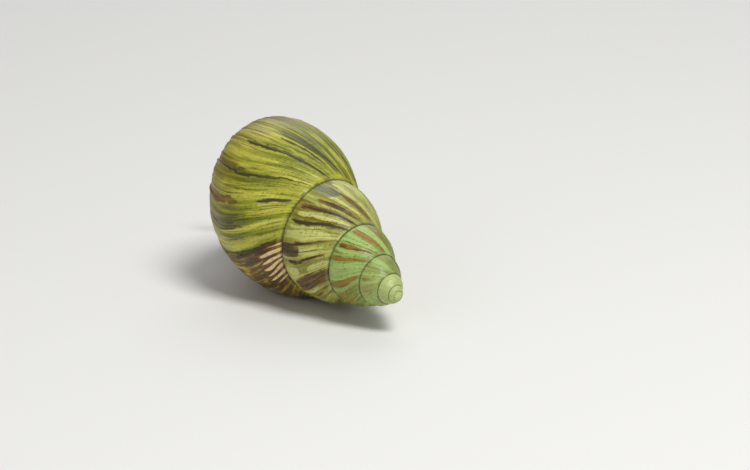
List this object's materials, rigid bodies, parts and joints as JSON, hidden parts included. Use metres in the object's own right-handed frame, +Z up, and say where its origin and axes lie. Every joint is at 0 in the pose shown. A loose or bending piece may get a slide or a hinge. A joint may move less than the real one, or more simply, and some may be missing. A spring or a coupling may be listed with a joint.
{
  "type": "giant african land snail",
  "caption": "Life-size still model of a giant African land snail resting on the floor, spiral shell above, its broad foot and head just out.",
  "frame": {"origin": "on the floor under the middle of the whole animal", "axes": "+X forward along the animal, towards its head; +Y to its left; +Z up"},
  "size_m": [0.0912, 0.042, 0.0368],
  "materials": {
    "shell": "olive and cream with dark growth streaks, satin gloss",
    "skin": "grey-brown, finely knobbed, moist",
    "eye": "black, glossy"
  },
  "bodies": {
    "root": {"shell_apex": "shell", "shell_upper_spire": "shell", "shell_penultimate_whorl": "shell", "shell_body_whorl": "shell", "shell_lip": "shell", "mantle_collar": "skin", "tail": "skin", "foot_rear": "skin", "foot_front": "skin", "neck": "skin", "head": "skin", "upper_tentacle_left": "skin", "upper_tentacle_right": "skin", "lower_tentacle_left": "skin", "lower_tentacle_right": "skin", "eye_left": "eye", "eye_right": "eye"}
  },
  "joints": []
}
